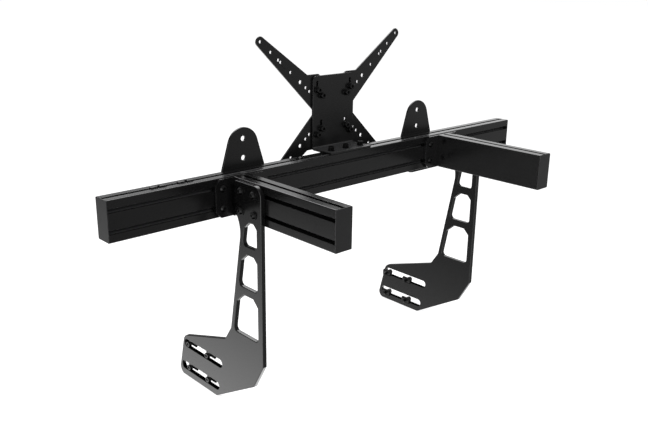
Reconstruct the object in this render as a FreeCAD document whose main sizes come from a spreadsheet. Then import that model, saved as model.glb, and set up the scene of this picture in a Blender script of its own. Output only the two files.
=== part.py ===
import FreeCAD, Part
import os
import re

import Sketcher

# A cockpit monitor mount: a T-slot crossbar that carries a bent screen plate with four screen arms,
# two upright tabs, and two T-slot arms with a slotted side plate on each.
# Millimetres and degrees. +X runs right along the crossbar, +Y to the rear, +Z up.
# The origin is the middle of the crossbar's top slot, level with the crossbar's top.

SIZES = {
    # T-slot stock, one cell across and two cells tall
    "stock_cell": 40,
    "stock_corner": 2,
    "slot_mouth": 8.2,
    "slot_lip": 4.5,
    "slot_width": 20,
    "slot_side": 2.5,
    "slot_floor": 9.5,
    "slot_depth": 12.25,
    "core_bore": 6.8,
    "corner_wall": 2.5,
    "corner_room": 5,
    "middle_wall": 4.5,
    "middle_half_height": 5.5,
    "middle_step": 4,
    # lengths of stock and where the arms stand
    "bar_length": 1200,
    "arm_length": 290,
    "arm_offset": 312.5,
    "cap_thickness": 2,
    "cap_peg": 6.4,
    "cap_peg_length": 12,
    # joining plate between each arm and the crossbar
    "join_thickness": 8,
    "join_half_width": 64,
    "join_margin": 1,
    "join_cut": 12,
    "join_bolt_reach": 47,
    # side plate, measured rearwards and down from its front top corner, and lifts up from the sole
    "side_thickness": 10,
    "side_front": 105,
    "side_drop": 2,
    "side_top_width": 84,
    "side_head_height": 58,
    "side_neck_width": 66,
    "side_neck_height": 97,
    "side_stem_slant": 10.5,
    "side_stem_end_lift": 189.5,
    "side_notch_back": 131,
    "side_notch_lift": 155.5,
    "side_heel_back": 294,
    "side_heel_lift": 103,
    "side_toe_back": 320,
    "side_height": 514.5,
    "side_sole_front": 170,
    "side_shin_back": 33,
    "side_shin_lift": 80.5,
    "side_edge_lift": 138.5,
    "side_front_radius": 21,
    "side_neck_radius": 60,
    "side_heel_radius": 24,
    "side_toe_radius": 16,
    "side_small_radius": 5,
    "side_bolt_back": 22.5,
    "side_bolt_spacing": 40,
    # windows cut in the side plate's stem
    "window_front_wall": 15.5,
    "window_rear_wall": 11.5,
    "window_radius": 9,
    "window_rear_slope": 0.84,
    "window_1_top": 78,
    "window_1_height": 50.3,
    "window_1_front_cut": 9,
    "window_1_rear_cut": 14,
    "window_2_top": 146.5,
    "window_2_height": 71.8,
    "window_2_front_cut": 10.5,
    "window_2_rear_cut": 18,
    "window_3_top": 236,
    "window_3_height": 90.3,
    "window_3_front_cut": 14.5,
    "window_3_rear_cut": 22.5,
    # clamping slots in the side plate's foot
    "foot_slot_height": 18.5,
    "foot_slot_length": 146,
    "foot_slot_1_back": 218.5,
    "foot_slot_2_back": 232.5,
    "foot_slot_2_lift": 26.5,
    "foot_slot_spacing": 60,
    "clamp_back_1": 206.5,
    "clamp_back_2": 280.5,
    # tabs on the crossbar's rear face
    "tab_thickness": 5,
    "tab_half_width": 53.9,
    "tab_slant": 17.4,
    "tab_top_radius": 38,
    "tab_flange": 38,
    "tab_hole": 11,
    "tab_hole_height": 20,
    "tab_hole_spacing": 40,
    "tab_bolt_reach": 40,
    "tab_left": 272.5,
    "tab_right": 265,
    "tab_bend": 6,
    # bent plate that carries the screen arms
    "plate_thickness": 5,
    "plate_half_width": 62.5,
    "plate_height": 166,
    "plate_front": 42.5,
    "plate_flange_front": 18,
    "plate_corner": 10,
    "plate_bend": 3,
    "flange_bolt_spacing": 45,
    "flange_slot": 14,
    "pattern_height": 85,
    "pattern_inner": 37.5,
    "pattern_outer": 50,
    "pattern_slot": 16.5,
    "pattern_slot_width": 6.5,
    # screen arms, measured from the middle of the bolt pattern
    "screen_arm_thickness": 4,
    "screen_arm_angle": 40.1,
    "screen_arm_tip_x": 203.7,
    "screen_arm_tip_z": 161.8,
    "screen_arm_tip_reach": 10,
    "screen_arm_tip_radius": 9.5,
    "screen_arm_root_side": 27,
    "screen_arm_root_low": 5,
    "screen_arm_root_cut": 7,
    "screen_arm_waist": 58,
    "screen_arm_shoulder": 74.5,
    "screen_arm_root_high": 84.3,
    "screen_arm_root_rise": 42.5,
    "screen_arm_root_drop": 9.7,
    "screen_arm_hole": 6.5,
    "screen_arm_wide_hole": 8.5,
    "screen_arm_corner": 3,
    # M8 fasteners
    "bolt_shank": 8,
    "bolt_hole": 8.6,
    "bolt_reach": 11.5,
    "button_head": 14,
    "button_height": 4.4,
    "button_rim": 1.4,
    "button_crown": 8.6,
    "button_key": 5,
    "button_key_depth": 2.6,
    "cap_head": 13,
    "cap_head_height": 8,
    "cap_head_rim": 0.8,
    "cap_key": 6,
    "cap_key_depth": 4,
    "sunk_head": 15,
    "sunk_shank": 6.6,
    "sunk_length": 30,
    "washer_thickness": 1.6,
    "washer_width": 16,
    "washer_wide": 18,
    "nut_length": 27,
    "nut_width": 16,
    "nut_side": 2.2,
    "nut_thickness": 5.5,
    "nut_neck": 7.8,
    "nut_neck_height": 4.2,
    "spare_length": 33,
    "spare_neck_height": 7.1,
    "back_nut_width": 13,
    "back_nut_height": 6.5,
    "back_bolt_spare": 2,
    "clamp_length": 22,
}

# distances of the plain holes from the hole at a screen arm's tip, and of its one wider hole
ARM_HOLES = (0, 35.4, 62.2, 70, 105.9, 162.5, 176.8, 212.2)
WIDE_ARM_HOLE = 141.8

# distances of the two spare nuts in the crossbar's top slot from its left end
SPARE_NUTS = (113.5, 173)

SIGN = {"left": "-1", "right": "1"}
TINY = 1e-3
X_AXIS = FreeCAD.Vector(1, 0, 0)
Y_AXIS = FreeCAD.Vector(0, 1, 0)
Z_AXIS = FreeCAD.Vector(0, 0, 1)

# turns of a fastener, which is drawn with its head or neck up and its slot along X
UPRIGHT = FreeCAD.Rotation()
FACING_FRONT = FreeCAD.Rotation(X_AXIS, 90)
FACING_REAR = FreeCAD.Rotation(X_AXIS, -90)
FACING_DOWN = FreeCAD.Rotation(X_AXIS, 180)
ALONG_Y = FreeCAD.Rotation(Z_AXIS, 90)
FACING_SIDE = {
    "left": FreeCAD.Rotation(Y_AXIS, -90) * ALONG_Y,
    "right": FreeCAD.Rotation(Y_AXIS, 90) * ALONG_Y,
}

DOC = FreeCAD.newDocument("monitor_mount")
NODES = []


def make_sheet():
    """The sheet that holds every driving size under its own name."""
    sheet = DOC.addObject("Spreadsheet::Sheet", "Sizes")
    for row, (name, value) in enumerate(SIZES.items(), start=1):
        sheet.set(f"A{row}", name)
        sheet.set(f"B{row}", str(value))
        sheet.setAlias(f"B{row}", name)
    DOC.recompute()


def bind(text):
    """The expression with each size's name pointed at its cell."""
    return re.sub(r"[a-z_]\w*", lambda word: f"Sizes.{word[0]}" if word[0] in SIZES else word[0], text)


def set_place(thing, place, turn=UPRIGHT):
    """Turns a thing and ties its place to the sheet."""
    thing.Placement = FreeCAD.Placement(FreeCAD.Vector(), turn)
    for axis, text in zip("xyz", place):
        thing.setExpression(f"Placement.Base.{axis}", bind(text))


def new_body(label, place=("0", "0", "0"), turn=UPRIGHT, node=True):
    """An empty body. A node is written out as a sub-part, and a pattern piece isn't."""
    body = DOC.addObject("PartDesign::Body", label)
    body.Label = label
    set_place(body, place, turn)
    if node:
        NODES.append(body)
    return body


def new_sketch(body, name, plane="XY", lift="0"):
    """An empty sketch on one of the body's own planes, lifted along the plane's normal."""
    sketch = body.newObject("Sketcher::SketchObject", f"{body.Name}_{name}")
    origin = next(item for item in body.Origin.OriginFeatures if item.Role == f"{plane}_Plane")
    sketch.AttachmentSupport = (origin, "")
    sketch.MapMode = "FlatFace"
    sketch.setExpression("AttachmentOffset.Base.z", bind(lift))
    return sketch


def hold(sketch, limits):
    """Adds constraints, each tied to the sheet where it has a text."""
    first = sketch.ConstraintCount
    sketch.addConstraint([limit for limit, text in limits])
    for number, (limit, text) in enumerate(limits, start=first):
        if text is not None:
            sketch.setExpression(f"Constraints[{number}]", bind(text))


def pins(element, point, place):
    """The two distances that hold a point of a sketch."""
    return [
        (Sketcher.Constraint(kind, -1, 1, element, point, 1.0), text)
        for kind, text in zip(("DistanceX", "DistanceY"), place)
    ]


def add_loop(sketch, points):
    """A closed loop of straight edges through points that are given as sizes."""
    first = sketch.GeometryCount
    count = len(points)
    rough = Part.makePolygon([FreeCAD.Rotation(Z_AXIS, 360 * k / count) * X_AXIS for k in range(count + 1)])
    sketch.addGeometry([Part.LineSegment(*[v.Point for v in edge.Vertexes]) for edge in rough.Edges], False)
    limits = []
    for number, point in enumerate(points):
        following = first + (number + 1) % count
        limits.append((Sketcher.Constraint("Coincident", first + number, 2, following, 1), None))
        limits.extend(pins(first + number, 1, point))
    hold(sketch, limits)


def add_circles(sketch, circles):
    """Circles given as (across, up, diameter)."""
    for across, up, diameter in circles:
        number = sketch.addGeometry(Part.Circle(FreeCAD.Vector(), Z_AXIS, 1.0), False)
        hold(sketch, pins(number, 3, (across, up)) + [(Sketcher.Constraint("Diameter", number, 2.0), diameter)])


def rectangle(left, right, low, high):
    return [(left, low), (right, low), (right, high), (left, high)]


def pad(body, sketch, length, reverse=False, both_ways=False):
    """Raises a sketch along its normal."""
    feature = body.newObject("PartDesign::Pad", f"{sketch.Name}_pad")
    feature.Profile = sketch
    feature.Reversed = reverse
    feature.Midplane = both_ways
    feature.setExpression("Length", bind(length))
    DOC.recompute()


def cut(body, sketch, depth=None):
    """Cuts a sketch down from its plane, or right through both ways when no depth is given."""
    before = body.Shape.Volume
    feature = body.newObject("PartDesign::Pocket", f"{sketch.Name}_cut")
    feature.Profile = sketch
    if depth is None:
        feature.Type = "ThroughAll"
        feature.Midplane = True
    else:
        feature.setExpression("Length", bind(depth))
    DOC.recompute()
    if feature.Shape.Volume > before - TINY:
        raise ValueError(f"{feature.Name} cuts nothing")


def spin(body, sketch):
    """Turns a sketch right round its own upright axis."""
    feature = body.newObject("PartDesign::Revolution", f"{sketch.Name}_spin")
    feature.Profile = sketch
    feature.ReferenceAxis = (sketch, ["V_Axis"])
    feature.Angle = 360
    DOC.recompute()


def edges_where(feature, test):
    """The names of a feature's edges whose middle passes the test."""
    return [f"Edge{number}" for number, edge in enumerate(feature.Shape.Edges, start=1) if test(edge.CenterOfMass)]


def dress(body, kind, names, size_name, size):
    """A fillet or a chamfer on named edges of the body's last feature."""
    base = body.Tip
    feature = body.newObject(f"PartDesign::{kind}", f"{body.Name}_{kind}")
    feature.Base = (base, names)
    feature.setExpression(size_name, bind(size))
    DOC.recompute()


def dress_corners(body, sketch, corners, kind, size_name, size):
    """A fillet or a chamfer on the edges that rise from corners of a sketch's first loop."""
    spots = [sketch.getPoint(corner, 1) for corner in corners]
    back = sketch.Placement.inverse()

    def rises_from_corner(middle):
        flat = back * middle
        return any(abs(flat.x - spot.x) + abs(flat.y - spot.y) < TINY for spot in spots)

    dress(body, kind, edges_where(body.Tip, rises_from_corner), size_name, size)


def round_corners(body, sketch, corners, radius):
    dress_corners(body, sketch, corners, "Fillet", "Radius", radius)


def make_group(label, pattern, places, turn=UPRIGHT):
    """A node of like pieces: one solid for each place."""
    links = []
    for number, place in enumerate(places, start=1):
        link = DOC.addObject("App::Link", f"{label}_{number}")
        link.LinkedObject = pattern
        set_place(link, place, turn)
        links.append(link)
    group = DOC.addObject("Part::Compound", label)
    group.Label = label
    group.Links = links
    NODES.append(group)


# Faces of the stock, walked clockwise. Each turns (along, depth) into (across, up).
FACES = {
    "top": lambda along, depth: (f"{along} - stock_cell / 2", f"-({depth})"),
    "right": lambda along, depth: (f"stock_cell / 2 - ({depth})", f"-({along})"),
    "bottom": lambda along, depth: (f"stock_cell / 2 - ({along})", f"{depth} - 2 * stock_cell"),
    "left": lambda along, depth: (f"{depth} - stock_cell / 2", f"{along} - 2 * stock_cell"),
}
SLOTS = {
    "top": ["0.5 * stock_cell"],
    "right": ["0.5 * stock_cell", "1.5 * stock_cell"],
    "bottom": ["0.5 * stock_cell"],
    "left": ["0.5 * stock_cell", "1.5 * stock_cell"],
}
CORE_HEIGHTS = ("-0.5 * stock_cell", "-1.5 * stock_cell")


def slot_path(middle):
    """One T-slot as (along, depth) points, from the near side of its mouth to the far side."""
    half = [
        ("slot_mouth / 2", "0"),
        ("slot_mouth / 2", "slot_lip"),
        ("slot_width / 2", "slot_lip"),
        ("slot_width / 2", "slot_lip + slot_side"),
        ("slot_floor / 2", "slot_depth"),
    ]
    near = [(f"{middle} - {offset}", depth) for offset, depth in half]
    far = [(f"{middle} + {offset}", depth) for offset, depth in reversed(half)]
    return near + far


def draw_stock(sketch, closed_face=None):
    """The stock's section, its top middle at the sketch's origin. Returns its outer corners."""
    outline = []
    corners = []
    rooms = []
    for face, place in FACES.items():
        corners.append(len(outline))
        outline.append(place("0", "0"))
        for middle in SLOTS[face]:
            path = [place(along, depth) for along, depth in slot_path(middle)]
            if face == closed_face:
                rooms.append(path[2:-2])
            else:
                outline.extend(path)
    add_loop(sketch, outline)
    for room in rooms:
        add_loop(sketch, room)
    add_circles(sketch, [("0", up, "core_bore") for up in CORE_HEIGHTS])
    draw_hollows(sketch)
    return corners


def draw_hollows(sketch):
    """The stock's four corner hollows and the larger one between its two cores."""
    inner = "stock_cell / 2 - corner_wall - corner_room"
    outer = "stock_cell / 2 - corner_wall"
    for side in ("-", "+"):
        for low in ("-corner_wall - corner_room", "corner_wall - 2 * stock_cell"):
            add_loop(sketch, rectangle(f"{side}({inner})", f"{side}({outer})", low, f"{low} + corner_room"))
    reach = "stock_cell / 2 - middle_wall"
    quarter = [
        (reach, "middle_half_height"),
        (f"{reach} - middle_step", "middle_half_height"),
        (f"{reach} - 2 * middle_step", "middle_half_height + middle_step"),
    ]
    loop = []
    for side, rise, order in (("", "+", 1), ("-", "+", -1), ("-", "-", 1), ("", "-", -1)):
        loop += [(f"{side}({across})", f"-stock_cell {rise} ({up})") for across, up in quarter[::order]]
    add_loop(sketch, loop)


def make_stock(label, plane, place, length, closed_face=None, both_ways=False):
    body = new_body(label, place)
    sketch = new_sketch(body, "section", plane)
    corners = draw_stock(sketch, closed_face)
    pad(body, sketch, length, both_ways=both_ways)
    round_corners(body, sketch, corners, "stock_corner")


def make_cap(label, plane, place, outward):
    """A thin end cap with two pegs in the stock's core bores."""
    body = new_body(label, place)
    sketch = new_sketch(body, "face", plane)
    add_loop(sketch, rectangle("-stock_cell / 2", "stock_cell / 2", "-2 * stock_cell", "0"))
    pad(body, sketch, "cap_thickness", reverse=not outward)
    round_corners(body, sketch, range(4), "stock_corner")
    pegs = new_sketch(body, "pegs", plane)
    add_circles(pegs, [("0", up, "cap_peg") for up in CORE_HEIGHTS])
    pad(body, pegs, "cap_peg_length", reverse=outward)


def make_crossbar():
    make_stock("crossbar", "YZ", ("0", "0", "0"), "bar_length", both_ways=True)
    make_cap("crossbar_left_cap", "YZ", ("-bar_length / 2", "0", "0"), outward=False)
    make_cap("crossbar_right_cap", "YZ", ("bar_length / 2", "0", "0"), outward=True)


def make_arm(side):
    """One arm with its tip cap. The face turned to the other arm has no slot."""
    across = f"{SIGN[side]} * arm_offset"
    closed_face = {"left": "right", "right": "left"}[side]
    root = "-stock_cell / 2 - join_thickness"
    make_stock(f"{side}_arm", "XZ", (across, root, "0"), "arm_length", closed_face)
    make_cap(f"{side}_arm_cap", "XZ", (across, f"{root} - arm_length", "0"), outward=True)


def make_joining_plate(side):
    """The flat plate that the arm is screwed to, with a bolted wing on each side of the arm."""
    body = new_body(f"{side}_joining_plate", (f"{SIGN[side]} * arm_offset", "-stock_cell / 2", "0"))
    sketch = new_sketch(body, "outline", "XZ")
    low = "join_margin - 2 * stock_cell"
    add_loop(sketch, rectangle("-join_half_width", "join_half_width", low, "-join_margin"))
    pad(body, sketch, "join_thickness")
    dress_corners(body, sketch, range(4), "Chamfer", "Size", "join_cut")
    holes = new_sketch(body, "holes", "XZ")
    add_circles(holes, [(across, up, "bolt_hole") for up in CORE_HEIGHTS
                        for across in ("-join_bolt_reach", "0", "join_bolt_reach")])
    cut(body, holes)
    rims = edges_where(body.Tip, lambda middle: abs(middle.x) < TINY and abs(middle.y) < TINY)
    dress(body, "Chamfer", rims, "Size", "(sunk_head - bolt_hole) / 2")


STEM_BACK = "(side_neck_width + (({down}) - side_neck_height) * tan(side_stem_slant))"


def stem_back(down):
    """How far back the stem's rear edge is at a height of the side plate."""
    return STEM_BACK.format(down=down)


def above_sole(name):
    """How far down the side plate a corner is that is measured up from the sole."""
    return f"side_height - {name}_lift"


def side_outline():
    """The side plate's outline as (back, up), from its front top corner round the foot."""
    path = [
        ("0", "0"),
        ("side_top_width", "0"),
        ("side_top_width", "side_head_height"),
        ("side_neck_width", "side_neck_height"),
        (stem_back(above_sole("side_stem_end")), above_sole("side_stem_end")),
        ("side_notch_back", above_sole("side_notch")),
        ("side_heel_back", above_sole("side_heel")),
        ("side_toe_back", "side_height"),
        ("side_sole_front", "side_height"),
        ("side_shin_back", above_sole("side_shin")),
        ("0", above_sole("side_edge")),
    ]
    return [(back, f"-({down})") for back, down in path]


def window_outline(number):
    """One window of the stem, its top corners cut and its rear side along the stem's rear edge."""
    top = f"window_{number}_top"
    low = f"{top} + window_{number}_height"
    front_cut = f"window_{number}_front_cut"
    rear_cut = f"window_{number}_rear_cut"
    rear_low = f"{top} + {rear_cut} * window_rear_slope"
    path = [
        ("window_front_wall", low),
        ("window_front_wall", f"{top} + {front_cut}"),
        (f"window_front_wall + {front_cut}", top),
        (f"{stem_back(rear_low)} - window_rear_wall - {rear_cut}", top),
        (f"{stem_back(rear_low)} - window_rear_wall", rear_low),
        (f"{stem_back(low)} - window_rear_wall", low),
    ]
    return [(back, f"-({down})") for back, down in path]


FOOT_SLOTS = (
    ("foot_slot_1_back", "side_height - foot_slot_2_lift - foot_slot_spacing"),
    ("foot_slot_2_back", "side_height - foot_slot_2_lift"),
)


def side_place(side):
    """The front top corner of a side plate's left face."""
    left_face = {"left": "-arm_offset - stock_cell / 2 - side_thickness", "right": "arm_offset + stock_cell / 2"}
    return left_face[side], "-stock_cell / 2 - side_front", "-side_drop"


def make_side_plate(side):
    body = new_body(f"{side}_side_plate", side_place(side))
    sketch = new_sketch(body, "outline", "YZ")
    add_loop(sketch, side_outline())
    pad(body, sketch, "side_thickness")
    round_corners(body, sketch, [0], "side_front_radius")
    round_corners(body, sketch, [3], "side_neck_radius")
    round_corners(body, sketch, [6], "side_heel_radius")
    round_corners(body, sketch, [7], "side_toe_radius")
    round_corners(body, sketch, [1, 2, 4, 5, 8, 9, 10], "side_small_radius")
    for number in (1, 2, 3):
        window = new_sketch(body, f"window_{number}", "YZ")
        add_loop(window, window_outline(number))
        cut(body, window)
        round_corners(body, window, [0, 5], "window_radius")
    cut_foot_slots(body)
    holes = new_sketch(body, "holes", "YZ")
    add_circles(holes, [(back, f"{up} + side_drop", "bolt_hole") for back, up in side_bolt_spots()])
    cut(body, holes)


def cut_foot_slots(body):
    """The two clamping slots, each a straight cut and then its round ends."""
    straights = new_sketch(body, "slot_sides", "YZ")
    ends = new_sketch(body, "slot_ends", "YZ")
    half = "(foot_slot_length - foot_slot_height) / 2"
    for back, down in FOOT_SLOTS:
        add_loop(straights, rectangle(f"{back} - {half}", f"{back} + {half}",
                                      f"-({down}) - foot_slot_height / 2", f"-({down}) + foot_slot_height / 2"))
        add_circles(ends, [(f"{back} {way} {half}", f"-({down})", "foot_slot_height") for way in "-+"])
    cut(body, straights)
    cut(body, ends)


def side_bolt_spots():
    """The side plate's four bolts as (back, height), in line with the arm's outer slots."""
    return [(back, up) for up in CORE_HEIGHTS for back in ("side_bolt_back", "side_bolt_back + side_bolt_spacing")]


def make_tab(side):
    """An upright tab on the crossbar's rear face, with a flange bolted under the crossbar."""
    body = new_body(f"{side}_tab", (f"{SIGN[side]} * tab_{side}", "stock_cell / 2", "0"))
    sketch = new_sketch(body, "outline", "XZ")
    bottom = "-2 * stock_cell - tab_thickness"
    add_loop(sketch, [
        ("-tab_half_width", bottom),
        ("-tab_half_width", "0"),
        ("0", "tab_half_width / tan(tab_slant)"),
        ("tab_half_width", "0"),
        ("tab_half_width", bottom),
    ])
    pad(body, sketch, "tab_thickness", reverse=True)
    round_corners(body, sketch, [2], "tab_top_radius")
    flange = new_sketch(body, "flange", "XY", bottom)
    add_loop(flange, rectangle("-tab_half_width", "tab_half_width", "-tab_flange", "tab_thickness"))
    pad(body, flange, "tab_thickness")
    at_bend = edges_where(body.Tip, lambda middle: abs(middle.x) < TINY and middle.y > TINY
                          and abs(middle.z - body.Tip.Shape.BoundBox.ZMin) < TINY)
    dress(body, "Fillet", at_bend, "Radius", "tab_bend")
    holes = new_sketch(body, "holes", "XZ")
    add_circles(holes, [("0", up, "tab_hole") for up in ("tab_hole_height", "tab_hole_height + tab_hole_spacing")])
    cut(body, holes)
    bolts = new_sketch(body, "bolt_holes", "XY")
    add_circles(bolts, [(across, "-stock_cell / 2", "bolt_hole") for across in ("-tab_bolt_reach", "tab_bolt_reach")])
    cut(body, bolts)


SCREEN_BOLTS = [
    (f"{across}pattern_{ring}", f"pattern_height {up} pattern_{ring}")
    for ring in ("inner", "outer") for across in ("-", "") for up in ("+", "-")
]
FLANGE_BOLTS = ("-flange_bolt_spacing", "0", "flange_bolt_spacing")


def make_screen_plate():
    """The bent plate: a flange on the crossbar's top and an upright face with the bolt patterns."""
    body = new_body("screen_plate")
    section = new_sketch(body, "section", "YZ")
    add_loop(section, [
        ("-plate_flange_front", "0"),
        ("plate_front + plate_thickness", "0"),
        ("plate_front + plate_thickness", "plate_height"),
        ("plate_front", "plate_height"),
        ("plate_front", "plate_thickness"),
        ("-plate_flange_front", "plate_thickness"),
    ])
    pad(body, section, "2 * plate_half_width", both_ways=True)
    round_corners(body, section, [4], "plate_bend")
    round_corners(body, section, [1], "plate_bend + plate_thickness")
    box = body.Tip.Shape.BoundBox
    top_corners = edges_where(body.Tip, lambda middle: abs(middle.z - box.ZMax) < TINY
                              and abs(abs(middle.x) - box.XMax) < TINY)
    dress(body, "Fillet", top_corners, "Radius", "plate_corner")
    cut_plate_slots(body)
    holes = new_sketch(body, "holes", "XZ")
    add_circles(holes, [(across, up, "bolt_hole") for across, up in SCREEN_BOLTS])
    cut(body, holes)


SLOTTED_BOLTS = [
    (f"{side}pattern_{ring}", f"pattern_height {way} pattern_{ring}")
    for side in ("-", "") for ring, way in (("outer", "+"), ("inner", "-"))
]


def cut_plate_slots(body):
    """Upright slots above four of the screen bolts, and slots along X for the flange bolts."""
    straights = new_sketch(body, "slot_sides", "XZ")
    ends = new_sketch(body, "slot_tops", "XZ")
    for across, up in SLOTTED_BOLTS:
        add_loop(straights, rectangle(f"{across} - pattern_slot_width / 2", f"{across} + pattern_slot_width / 2",
                                      up, f"{up} + pattern_slot"))
        add_circles(ends, [(across, f"{up} + pattern_slot", "pattern_slot_width")])
    cut(body, straights)
    cut(body, ends)
    flange = new_sketch(body, "flange_slots", "XY")
    flange_ends = new_sketch(body, "flange_slot_ends", "XY")
    half = "(flange_slot - bolt_hole) / 2"
    for across in FLANGE_BOLTS:
        add_loop(flange, rectangle(f"{across} - {half}", f"{across} + {half}", "-bolt_hole / 2", "bolt_hole / 2"))
        add_circles(flange_ends, [(f"{across} {way} {half}", "0", "bolt_hole") for way in "-+"])
    cut(body, flange)
    cut(body, flange_ends)


def make_screen_arm(row, side):
    """One of the four flat arms behind the screen plate."""
    body = new_body(f"{row}_{side}_screen_arm", ("0", "plate_front + plate_thickness", "pattern_height"))
    sign = {"left": "-", "right": ""}[side]
    rise = {"lower": "-", "upper": ""}[row]

    def spot(across, up):
        return f"{sign}({across})", f"{rise}({up})"

    along = ("cos(screen_arm_angle)", "sin(screen_arm_angle)")
    reach = "screen_arm_tip_reach"
    sketch = new_sketch(body, "outline", "XZ")
    add_loop(sketch, [
        spot("screen_arm_root_side", "screen_arm_root_low + screen_arm_root_cut"),
        spot("screen_arm_root_side + screen_arm_root_cut", "screen_arm_root_low"),
        spot("screen_arm_waist", "screen_arm_root_low"),
        spot(f"screen_arm_tip_x + {reach} * ({along[0]} + {along[1]})",
             f"screen_arm_tip_z + {reach} * ({along[1]} - {along[0]})"),
        spot(f"screen_arm_tip_x + {reach} * ({along[0]} - {along[1]})",
             f"screen_arm_tip_z + {reach} * ({along[1]} + {along[0]})"),
        spot("screen_arm_shoulder", "screen_arm_root_high"),
        spot("screen_arm_root_rise", "screen_arm_root_high"),
        spot("screen_arm_root_side", "screen_arm_root_high - screen_arm_root_drop"),
    ])
    pad(body, sketch, "screen_arm_thickness", reverse=True)
    round_corners(body, sketch, [3, 4], "screen_arm_tip_radius")
    round_corners(body, sketch, [0, 1, 2, 5, 6, 7], "screen_arm_corner")
    holes = new_sketch(body, "holes", "XZ")
    widths = [(distance, "screen_arm_hole") for distance in ARM_HOLES] + [(WIDE_ARM_HOLE, "screen_arm_wide_hole")]
    add_circles(holes, [
        (*spot(f"screen_arm_tip_x - {distance} * {along[0]}", f"screen_arm_tip_z - {distance} * {along[1]}"), width)
        for distance, width in widths
    ])
    add_circles(holes, [
        (*spot(f"pattern_{ring}", f"pattern_{ring}"), "bolt_hole") for ring in ("inner", "outer")
    ])
    cut(body, holes)


def make_bolt(label, profile, key, key_depth, head_height):
    """A bolt with its seat at zero and its head up: a turned profile and a six-sided socket."""
    body = new_body(label, node=False)
    sketch = new_sketch(body, "profile", "XZ")
    add_loop(sketch, profile)
    spin(body, sketch)
    socket = new_sketch(body, "socket", "XY", head_height)
    point = f"{key} / 2 / cos(30)"
    add_loop(socket, [(f"{point} * cos({60 * k})", f"{point} * sin({60 * k})") for k in range(6)])
    cut(body, socket, key_depth)
    return body


def make_button_bolt(label, grip):
    profile = [
        ("0", f"-({grip})"),
        ("bolt_shank / 2", f"-({grip})"),
        ("bolt_shank / 2", "0"),
        ("button_head / 2", "0"),
        ("button_head / 2", "button_rim"),
        ("button_crown / 2", "button_height"),
        ("0", "button_height"),
    ]
    return make_bolt(label, profile, "button_key", "button_key_depth", "button_height")


def make_cap_bolt(label, grip):
    profile = [
        ("0", f"-({grip})"),
        ("bolt_shank / 2", f"-({grip})"),
        ("bolt_shank / 2", "0"),
        ("cap_head / 2", "0"),
        ("cap_head / 2", "cap_head_height - cap_head_rim"),
        ("cap_head / 2 - cap_head_rim", "cap_head_height"),
        ("0", "cap_head_height"),
    ]
    return make_bolt(label, profile, "cap_key", "cap_key_depth", "cap_head_height")


def make_sunk_screw(label):
    """A countersunk screw for the ends of the arms, its flat head up at zero."""
    sink = "(sunk_head - bolt_hole) / 2"
    profile = [
        ("0", "-sunk_length"),
        ("sunk_shank / 2", "-sunk_length"),
        ("sunk_shank / 2", f"-({sink}) - (bolt_hole - sunk_shank) / 2"),
        ("sunk_head / 2", "0"),
        ("0", "0"),
    ]
    return make_bolt(label, profile, "button_key", "button_key_depth", "0")


def make_washer(label, width):
    body = new_body(label, node=False)
    ring = new_sketch(body, "ring")
    add_circles(ring, [("0", "0", width), ("0", "0", "bolt_hole")])
    pad(body, ring, "washer_thickness")
    return body


def make_slot_nut(label, length, neck_height):
    """A nut for the T-slots, its shoulder at zero, its neck up in the mouth and its length along X."""
    body = new_body(label, node=False)
    section = new_sketch(body, "section", "YZ")
    slant = "nut_width / 2 - nut_thickness + nut_side"
    half = [
        ("nut_neck / 2", neck_height),
        ("nut_neck / 2", "0"),
        ("nut_width / 2", "0"),
        ("nut_width / 2", "-nut_side"),
        (slant, "-nut_thickness"),
    ]
    add_loop(section, half + [(f"-({across})", up) for across, up in reversed(half)])
    pad(body, section, length, both_ways=True)
    bore = new_sketch(body, "bore")
    add_circles(bore, [("0", "0", "bolt_shank")])
    cut(body, bore)
    return body


def make_back_nut(label):
    """A six-sided nut behind a screen arm, standing up from zero."""
    body = new_body(label, node=False)
    shape = new_sketch(body, "shape")
    point = "back_nut_width / 2 / cos(30)"
    add_loop(shape, [(f"{point} * cos({60 * k})", f"{point} * sin({60 * k})") for k in range(6)])
    add_circles(shape, [("0", "0", "bolt_shank")])
    pad(body, shape, "back_nut_height")
    return body


def make_patterns():
    """One of each fastener, to be repeated where the pieces are bolted together."""
    behind_plate = "plate_thickness + screen_arm_thickness + back_nut_height + back_bolt_spare"
    return {
        "join_bolt": make_button_bolt("join_bolt", "join_thickness + bolt_reach"),
        "side_bolt": make_button_bolt("side_bolt", "washer_thickness + side_thickness + bolt_reach"),
        "tab_bolt": make_button_bolt("tab_bolt", "tab_thickness + bolt_reach"),
        "flange_bolt": make_cap_bolt("flange_bolt", "washer_thickness + plate_thickness + bolt_reach"),
        "screen_bolt": make_cap_bolt("screen_bolt", f"washer_thickness + {behind_plate}"),
        "clamp_screw": make_cap_bolt("clamp_screw", "clamp_length"),
        "end_screw": make_sunk_screw("end_screw"),
        "washer": make_washer("washer", "washer_width"),
        "wide_washer": make_washer("wide_washer", "washer_wide"),
        "slot_nut": make_slot_nut("slot_nut", "nut_length", "nut_neck_height"),
        "spare_nut": make_slot_nut("spare_nut", "spare_length", "spare_neck_height"),
        "back_nut": make_back_nut("back_nut"),
    }


def fit_spare_nuts(patterns):
    make_group("crossbar_spare_nuts", patterns["spare_nut"],
               [(f"{distance} - bar_length / 2", "0", "-slot_lip") for distance in SPARE_NUTS])


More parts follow.
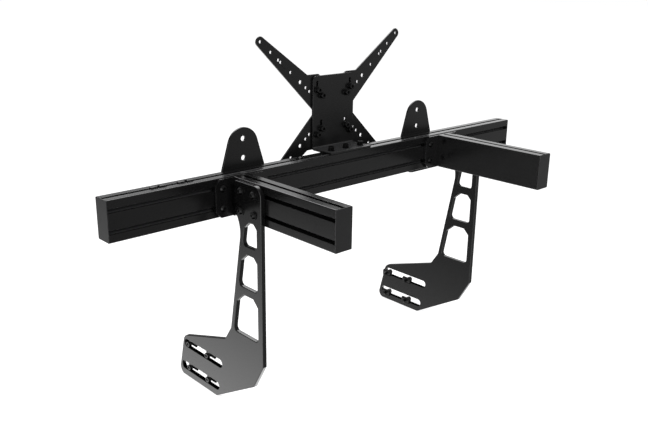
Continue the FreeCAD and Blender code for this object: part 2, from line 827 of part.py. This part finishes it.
def fit_joining_plate(side, patterns):
    """Two bolts and slot nuts in each wing, and two screws up the arm's cores."""
    middle = f"{SIGN[side]} * arm_offset"
    wings = [(f"{middle} {way} join_bolt_reach", up) for way in "-+" for up in CORE_HEIGHTS]
    face = "-stock_cell / 2"
    make_group(f"{side}_joining_bolts", patterns["join_bolt"],
               [(across, f"{face} - join_thickness", up) for across, up in wings], FACING_FRONT)
    make_group(f"{side}_joining_nuts", patterns["slot_nut"],
               [(across, f"{face} + slot_lip", up) for across, up in wings], FACING_FRONT)
    make_group(f"{side}_arm_screws", patterns["end_screw"],
               [(middle, face, up) for up in CORE_HEIGHTS], FACING_REAR)


def fit_side_plate(side, patterns):
    """Four bolts, washers and slot nuts at the arm, and four clamping screws with nuts in the foot."""
    sign = SIGN[side]
    _, front, top = side_place(side)
    inner_face = "(arm_offset + stock_cell / 2)"
    outer_face = f"({inner_face} + side_thickness)"
    turn = FACING_SIDE[side]
    bolts = [(f"{front} + {back}", up) for back, up in side_bolt_spots()]
    make_group(f"{side}_side_washers", patterns["wide_washer"],
               [(f"{sign} * {outer_face}", back, up) for back, up in bolts], turn)
    make_group(f"{side}_side_bolts", patterns["side_bolt"],
               [(f"{sign} * ({outer_face} + washer_thickness)", back, up) for back, up in bolts], turn)
    make_group(f"{side}_side_nuts", patterns["slot_nut"],
               [(f"{sign} * ({inner_face} - slot_lip)", back, up) for back, up in bolts], turn)
    drop = "(foot_slot_height - cap_head) / 2"
    clamps = [(f"{front} + {back}", f"{top} - ({down}) - {drop}")
              for _, down in FOOT_SLOTS for back in ("clamp_back_1", "clamp_back_2")]
    make_group(f"{side}_clamp_screws", patterns["clamp_screw"],
               [(f"{sign} * ({outer_face} - cap_head_height)", back, up) for back, up in clamps], turn)
    make_group(f"{side}_clamp_nuts", patterns["slot_nut"],
               [(f"{sign} * ({inner_face} - nut_neck_height)", back, up) for back, up in clamps], turn)


def fit_tab(side, patterns):
    """Two bolts up into the crossbar's bottom slot."""
    low = "-2 * stock_cell"
    spots = [f"{SIGN[side]} * tab_{side} {way} tab_bolt_reach" for way in "-+"]
    make_group(f"{side}_tab_bolts", patterns["tab_bolt"],
               [(across, "0", f"{low} - tab_thickness") for across in spots], FACING_DOWN)
    make_group(f"{side}_tab_nuts", patterns["slot_nut"],
               [(across, "0", f"{low} + slot_lip") for across in spots], FACING_DOWN)


def fit_screen_plate(patterns):
    """Three bolts down into the top slot, and eight through the plate and the screen arms."""
    make_group("flange_washers", patterns["washer"], [(across, "0", "plate_thickness") for across in FLANGE_BOLTS])
    make_group("flange_bolts", patterns["flange_bolt"],
               [(across, "0", "plate_thickness + washer_thickness") for across in FLANGE_BOLTS])
    make_group("flange_nuts", patterns["slot_nut"], [(across, "0", "-slot_lip") for across in FLANGE_BOLTS])
    back = "plate_front + plate_thickness + screen_arm_thickness"
    make_group("screen_washers", patterns["washer"],
               [(across, "plate_front", up) for across, up in SCREEN_BOLTS], FACING_FRONT)
    make_group("screen_bolts", patterns["screen_bolt"],
               [(across, "plate_front - washer_thickness", up) for across, up in SCREEN_BOLTS], FACING_FRONT)
    make_group("screen_nuts", patterns["back_nut"],
               [(across, back, up) for across, up in SCREEN_BOLTS], FACING_REAR)


def check(things):
    """Stops at anything that failed to build."""
    for thing in DOC.Objects:
        if {"Invalid", "Error"} & set(thing.State):
            raise ValueError(f"{thing.Label}: {thing.State}")
    for thing in things:
        if thing.Shape.isNull() or not thing.Shape.isValid():
            raise ValueError(f"{thing.Label} has no valid shape")


def main():
    make_sheet()
    patterns = make_patterns()
    make_crossbar()
    fit_spare_nuts(patterns)
    for side in ("left", "right"):
        make_arm(side)
        make_joining_plate(side)
        fit_joining_plate(side, patterns)
        make_side_plate(side)
        fit_side_plate(side, patterns)
        make_tab(side)
        fit_tab(side, patterns)
    make_screen_plate()
    for row in ("upper", "lower"):
        for side in ("left", "right"):
            make_screen_arm(row, side)
    fit_screen_plate(patterns)
    DOC.recompute()
    check(NODES)
    os.makedirs("parts", exist_ok=True)
    for node in NODES:
        node.Shape.exportStep(os.path.join("parts", f"{node.Label}.step"))
        print(f"{node.Label}: {len(node.Shape.Solids)} solids, {node.Shape.Volume / 1000:.1f} cm3")


main()
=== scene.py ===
import math

import bpy
from mathutils import Matrix, Vector


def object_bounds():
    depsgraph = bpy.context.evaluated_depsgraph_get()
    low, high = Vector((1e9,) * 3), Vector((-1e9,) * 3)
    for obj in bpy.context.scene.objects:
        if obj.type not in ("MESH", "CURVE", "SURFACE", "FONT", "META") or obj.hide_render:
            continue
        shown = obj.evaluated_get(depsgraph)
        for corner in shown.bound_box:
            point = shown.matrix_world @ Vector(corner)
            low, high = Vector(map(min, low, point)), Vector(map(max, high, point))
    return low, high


# A black cockpit monitor mount in a bright studio.
# Metres: +X right along the crossbar, +Y to the rear, +Z up.

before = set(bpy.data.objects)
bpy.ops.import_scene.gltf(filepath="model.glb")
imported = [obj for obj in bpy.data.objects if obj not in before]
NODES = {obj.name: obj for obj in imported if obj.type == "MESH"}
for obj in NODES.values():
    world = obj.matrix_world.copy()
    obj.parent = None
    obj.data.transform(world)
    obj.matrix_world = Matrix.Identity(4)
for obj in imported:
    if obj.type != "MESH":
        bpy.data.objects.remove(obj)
START_BOX = [list(corner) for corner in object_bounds()]
FLOOR_HEIGHT = START_BOX[0][2]


# Helpers for node trees

GRAIN_DETAIL = 4.0
GRAIN_MIDDLE = (0.3, 0.7)
LOOKING_RANGE = (0.2, 0.4)


def wire(tree, source, target):
    tree.links.new(source, target)


def add_node(tree, kind, **values):
    node = tree.nodes.new(kind)
    for name, value in values.items():
        setattr(node, name, value)
    return node


def feed(tree, socket, value):
    """Give an input a number or a colour, or wire another node's output to it."""
    if isinstance(value, bpy.types.NodeSocket):
        wire(tree, value, socket)
    else:
        socket.default_value = value


def add_grain(tree, size, stretch=(1, 1, 1)):
    """Noise fixed to the object, its grains that size in metres and drawn out along the axes."""
    place = add_node(tree, "ShaderNodeTexCoord")
    scale = add_node(tree, "ShaderNodeMapping")
    scale.inputs["Scale"].default_value = [1 / (size * s) for s in stretch]
    grain = add_node(tree, "ShaderNodeTexNoise")
    grain.inputs["Scale"].default_value = 1.0
    grain.inputs["Detail"].default_value = GRAIN_DETAIL
    wire(tree, place.outputs["Object"], scale.inputs["Vector"])
    wire(tree, scale.outputs["Vector"], grain.inputs["Vector"])
    return grain.outputs["Fac"]


def remap(tree, value, from_range, to_range, smooth=False):
    kind = "SMOOTHSTEP" if smooth else "LINEAR"
    ramp = add_node(tree, "ShaderNodeMapRange", interpolation_type=kind)
    ends = (*from_range, *to_range)
    for name, number in zip(("From Min", "From Max", "To Min", "To Max"), ends):
        ramp.inputs[name].default_value = number
    wire(tree, value, ramp.inputs["Value"])
    return ramp.outputs["Result"]


def blend(tree, kind, factor, low, high):
    """Low where the factor is 0 and high where it is 1. The kind is RGBA or FLOAT."""
    mix = add_node(tree, "ShaderNodeMix", data_type=kind)
    feed(tree, mix.inputs["A"], low)
    feed(tree, mix.inputs["B"], high)
    wire(tree, factor, mix.inputs["Factor"])
    return mix.outputs["Result"]


def add_math(tree, operation, first, second):
    node = add_node(tree, "ShaderNodeMath", operation=operation)
    feed(tree, node.inputs[0], first)
    feed(tree, node.inputs[1], second)
    return node.outputs["Value"]


def dot_with(tree, vector, fixed):
    product = add_node(tree, "ShaderNodeVectorMath", operation="DOT_PRODUCT")
    product.inputs[1].default_value = fixed
    wire(tree, vector, product.inputs[0])
    return product.outputs["Value"]


def add_mask(tree, facing, axis, low, high):
    """1 on the faces that look that way, between two places on one of the object's own axes."""
    place = add_node(tree, "ShaderNodeTexCoord")
    split = add_node(tree, "ShaderNodeSeparateXYZ")
    wire(tree, place.outputs["Object"], split.inputs[0])
    above = add_math(tree, "GREATER_THAN", split.outputs[axis], low)
    below = add_math(tree, "LESS_THAN", split.outputs[axis], high)
    looking = remap(tree, dot_with(tree, place.outputs["Normal"], facing), LOOKING_RANGE, (0, 1))
    return add_math(tree, "MULTIPLY", add_math(tree, "MULTIPLY", above, below), looking)


def add_bump(tree, grain, strength, distance):
    bump = add_node(tree, "ShaderNodeBump")
    bump.inputs["Strength"].default_value = strength
    bump.inputs["Distance"].default_value = distance
    wire(tree, grain, bump.inputs["Height"])
    return bump.outputs["Normal"]


# Finishes: everything is black, and what sets one apart from another is its gloss and its grain. Some
# also carry patches of painted light and painted shade on chosen faces.

COOL_TINT = 1.03
CLOUD_SIZE = 0.09


def grey(level):
    return (level, level, level * COOL_TINT, 1)


def make_finish(name, greys, rough, grain_size, stretch=(1, 1, 1), bump=0.1, depth=0.00002,
                specular=0.5, painted_patch=None):
    """A black metal or plastic, whose colour clouds a little and whose gloss follows a grain.

    A painted patch is (the mask's values, its grey, its specular level): a grey and gloss painted on the
    faces in the mask, standing in for the light and shade that falls there.
    """
    material = bpy.data.materials.new(name)
    material.use_nodes = True
    tree = material.node_tree
    shader = tree.nodes["Principled BSDF"]
    fine = add_grain(tree, grain_size, stretch)
    clouds = remap(tree, add_grain(tree, CLOUD_SIZE), GRAIN_MIDDLE, (0, 1))
    colour = blend(tree, "RGBA", clouds, grey(greys[0]), grey(greys[1]))
    # Painted light and shade: the masked faces get another grey and specular level.
    if painted_patch:
        place, painted_grey, painted_specular = painted_patch
        mask = add_mask(tree, *place)
        colour = blend(tree, "RGBA", mask, colour, grey(painted_grey))
        specular = blend(tree, "FLOAT", mask, specular, painted_specular)
    wire(tree, colour, shader.inputs["Base Color"])
    wire(tree, remap(tree, fine, GRAIN_MIDDLE, rough), shader.inputs["Roughness"])
    wire(tree, add_bump(tree, fine, bump, depth), shader.inputs["Normal"])
    feed(tree, shader.inputs["Specular IOR Level"], specular)
    return material


ALONG_X = (60, 1, 1)
ALONG_Y = (1, 60, 1)

# Faces that get painted light or painted shade, as (the way they look, an axis and the two places on it)
SLOT_WALLS = ((0, -0.8, 0.6), "Y", -0.0135, 0)
FOOT_SLOT_WALLS = ((0, 0, 1), "Z", -0.51, -0.42)
FLANGE_TOP = ((0, 0, 1), "Z", -0.01, 0.01)
UNDERSIDES = ((0, 0, -1), "Z", -10, 10)
# Painted light: the walls inside the crossbar's slots get a much lighter grey, for light falling into
# the slots.
SLOT_PAINTED_LIGHT = (SLOT_WALLS, 0.05, 0.5)
# Painted shade: the lower walls of the foot slots are near black with no gloss.
FOOT_SLOT_PAINTED_SHADE = (FOOT_SLOT_WALLS, 0.001, 0.0)
# Painted light: the flange's top gets a lighter grey, for light falling on it from above.
FLANGE_PAINTED_LIGHT = (FLANGE_TOP, 0.03, 0.5)
# Painted shade: every downward-facing face of bolts and washers is darker and without gloss.
UNDERSIDE_PAINTED_SHADE = (UNDERSIDES, 0.002, 0.0)

ANODISED = {"greys": (0.0042, 0.0056), "rough": (0.17, 0.24), "grain_size": 0.0006}
# The crossbar's finish carries painted light on its slot walls.
bar_anodised = make_finish("bar_anodised", stretch=ALONG_X, painted_patch=SLOT_PAINTED_LIGHT, **ANODISED)
arm_anodised = make_finish("arm_anodised", stretch=ALONG_Y, **ANODISED)
cap_plastic = make_finish("cap_plastic", (0.010, 0.014), (0.38, 0.48), 0.0007, bump=0.35, depth=0.00008)
# The side plates' finish carries painted shade on the lower walls of the foot slots.
plate_coat = make_finish("plate_coat", (0.0046, 0.0060), (0.16, 0.22), 0.0005, bump=0.08,
                         painted_patch=FOOT_SLOT_PAINTED_SHADE)
# The bracket finish carries painted light on the flange's top.
bracket_coat = make_finish("bracket_coat", (0.0046, 0.0062), (0.24, 0.32), 0.0006, bump=0.15,
                           painted_patch=FLANGE_PAINTED_LIGHT)
# The bolt and washer finishes carry painted shade on their undersides.
bolt_black = make_finish("bolt_black", (0.0045, 0.0060), (0.30, 0.42), 0.0004, specular=0.35,
                         painted_patch=UNDERSIDE_PAINTED_SHADE)
washer_black = make_finish("washer_black", (0.0050, 0.0065), (0.20, 0.28), 0.0004, painted_patch=UNDERSIDE_PAINTED_SHADE)
clamp_black = make_finish("clamp_black", (0.0050, 0.0065), (0.20, 0.30), 0.0004)
# A darker, duller copy of the bolt black for the flange bolts and washers: painted shade on them.
flange_bolt_shaded_black = make_finish("flange_bolt_shaded_black", (0.0030, 0.0040), (0.40, 0.50), 0.0004,
                                specular=0.1)

BY_SLOT = {
    "profile": bar_anodised,
    "end_cap": cap_plastic,
    "side_plate": plate_coat,
    "bracket": bracket_coat,
    "fastener": bolt_black,
}


BY_NAME = {
    "left_arm": arm_anodised,
    "right_arm": arm_anodised,
    "flange_bolts": flange_bolt_shaded_black,
    "flange_washers": flange_bolt_shaded_black,
    "left_side_washers": washer_black,
    "right_side_washers": washer_black,
    "screen_washers": washer_black,
    "left_clamp_screws": clamp_black,
    "right_clamp_screws": clamp_black,
}


def paint_nodes():
    """The finish that goes with a node's name, or else with its material slot."""
    for name, node in NODES.items():
        for holder in node.material_slots:
            slot = holder.material.name.split(".")[0]
            holder.material = BY_NAME.get(name, BY_SLOT[slot])


paint_nodes()


# Broken edges: how wide the edge of each kind of piece is rounded, by the end of the node's name

EDGE_WIDTHS = {
    "side_plate": 0.0016,
    "joining_plate": 0.0003,
    "screen_plate": 0.0008,
    "screen_arm": 0.0006,
    "tab": 0.0008,
    "cap": 0.0007,
    "crossbar": 0.0003,
    "arm": 0.0003,
    "bolts": 0.0003,
    "screws": 0.0003,
    "washers": 0.00025,
    "nuts": 0.0003,
}
SHARP = math.radians(32)
FLAT = math.radians(0.5)
WELD_DISTANCE = 0.00001
FACE_WEIGHT = 90


def edge_width(name):
    """The width that belongs to the longest ending that fits the name."""
    endings = [ending for ending in EDGE_WIDTHS if name.endswith(ending)]
    return EDGE_WIDTHS[max(endings, key=len)]


def round_edges(node, width):
    """Join the mesh, merge its flat faces and break its edges, with the shading kept flat."""
    weld = node.modifiers.new("weld", "WELD")
    weld.merge_threshold = WELD_DISTANCE
    flat = node.modifiers.new("flat_faces", "DECIMATE")
    flat.decimate_type = "DISSOLVE"
    flat.angle_limit = FLAT
    rounding = node.modifiers.new("rounding", "BEVEL")
    rounding.width = width
    rounding.segments = 2
    rounding.limit_method = "ANGLE"
    rounding.angle_limit = SHARP
    rounding.use_clamp_overlap = False
    shading = node.modifiers.new("shading", "WEIGHTED_NORMAL")
    shading.keep_sharp = False
    shading.weight = FACE_WEIGHT


for name, node in NODES.items():
    round_edges(node, edge_width(name))


# The studio

WHITE = (1, 1, 1, 1)
FLOOR_SIZE = 40
FLOOR_COLOUR = (0.8, 0.8, 0.8, 1)
FLOOR_GLOW = 0.80


def make_floor():
    """A plain pale floor under the object, white to the camera."""
    bpy.ops.mesh.primitive_plane_add(size=FLOOR_SIZE, location=(0, 0, FLOOR_HEIGHT))
    floor = bpy.context.object
    floor.name = "studio_floor"
    material = bpy.data.materials.new("studio_floor")
    material.use_nodes = True
    tree = material.node_tree
    shader = tree.nodes["Principled BSDF"]
    shader.inputs["Base Color"].default_value = FLOOR_COLOUR
    shader.inputs["Roughness"].default_value = 0.9
    shader.inputs["Specular IOR Level"].default_value = 0.0
    glow = add_node(tree, "ShaderNodeEmission")
    rays = add_node(tree, "ShaderNodeLightPath")
    seen = remap(tree, rays.outputs["Is Camera Ray"], (0, 1), (0, FLOOR_GLOW))
    wire(tree, seen, glow.inputs["Strength"])
    both = add_node(tree, "ShaderNodeAddShader")
    wire(tree, shader.outputs["BSDF"], both.inputs[0])
    wire(tree, glow.outputs["Emission"], both.inputs[1])
    wire(tree, both.outputs["Shader"], tree.nodes["Material Output"].inputs["Surface"])
    floor.data.materials.append(material)
    floor.visible_glossy = False


make_floor()

# Soft white panels round the studio, which the gloss shows. Each has the azimuth and elevation
# of its middle in degrees, the angles from the middle at which it starts and is full, and its
# strength, which is below 0 where it darkens another. Azimuth 0 is +X and 90 is the rear.
CAMERA_LEVEL = 1.0
DIFFUSE_LEVEL = 0.3
GLOSS_LEVEL = 0.22
PANELS = (
    ((115, -60), (46.5, 0), 3.2),
    ((115, -66), (34, 12), -2.6),
    ((30, 8), (28, 8), 1.0),
    ((60, 50), (36, 0), 4.4),
    ((-20, 0), (53, 0), 0.2),
    ((-170, -10), (40, 15), 2.5),
    ((8, -60), (28, 5), 3.0),
)


def point_to(azimuth, elevation):
    around, up = math.radians(azimuth), math.radians(elevation)
    return Vector((math.cos(around) * math.cos(up), math.sin(around) * math.cos(up), math.sin(up)))


def add_panels(sky):
    """The strength of the reflected studio in each direction."""
    direction = add_node(sky, "ShaderNodeTexCoord").outputs["Generated"]
    total = GLOSS_LEVEL
    for middle, angles, strength in PANELS:
        edges = [math.cos(math.radians(angle)) for angle in angles]
        towards = dot_with(sky, direction, point_to(*middle))
        total = add_math(sky, "ADD", remap(sky, towards, edges, (0, strength), smooth=True), total)
    return total


def make_world():
    """White to the camera, a plain level to the surfaces, and soft panels to the gloss."""
    world = bpy.data.worlds.new("studio")
    bpy.context.scene.world = world
    world.use_nodes = True
    sky = world.node_tree
    backdrop = sky.nodes["Background"]
    rays = add_node(sky, "ShaderNodeLightPath")
    lit = blend(sky, "FLOAT", rays.outputs["Is Glossy Ray"], DIFFUSE_LEVEL, add_panels(sky))
    strength = blend(sky, "FLOAT", rays.outputs["Is Camera Ray"], lit, CAMERA_LEVEL)
    wire(sky, strength, backdrop.inputs["Strength"])
    backdrop.inputs["Color"].default_value = WHITE


make_world()


def add_softbox(name, spot, aim, size, watts):
    """A soft light at the spot, turned to the aim, which no gloss shows."""
    light = bpy.data.lights.new(name, "AREA")
    light.shape = "RECTANGLE"
    light.size, light.size_y = size
    light.energy = watts
    holder = bpy.data.objects.new(name, light)
    bpy.context.scene.collection.objects.link(holder)
    holder.location = spot
    holder.rotation_euler = (Vector(aim) - Vector(spot)).to_track_quat("-Z", "Y").to_euler()
    holder.visible_glossy = False


add_softbox("top_softbox", (-0.3, -0.2, 2.2), (0, 0, 0), (2.0, 2.0), 30)
add_softbox("front_softbox", (-0.6, -2.3, 1.6), (0, 0, -0.1), (1.2, 1.0), 30)


# The camera, at the photograph's viewpoint, found from the corners of the crossbar, arms and side plates

CAMERA_PLACE = Vector((-1.19501, -1.22438, 0.39007))
CAMERA_FORWARD = Vector((0.64584, 0.69981, -0.30520))
CAMERA_RIGHT = Vector((0.73720, -0.67559, 0.01089))
FOCAL_PIXELS = 771.0
PHOTO_WIDTH = 648
SENSOR = 36


def make_camera():
    lens = bpy.data.cameras.new("camera")
    lens.sensor_width = SENSOR
    lens.lens = FOCAL_PIXELS / PHOTO_WIDTH * SENSOR
    camera = bpy.data.objects.new("camera", lens)
    bpy.context.scene.collection.objects.link(camera)
    up = CAMERA_RIGHT.cross(CAMERA_FORWARD)
    turn = Matrix((CAMERA_RIGHT, up, -CAMERA_FORWARD)).transposed()
    camera.matrix_world = Matrix.LocRotScale(CAMERA_PLACE, turn.to_quaternion(), None)
    bpy.context.scene.camera = camera


make_camera()

bpy.context.scene.view_settings.view_transform = "Standard"
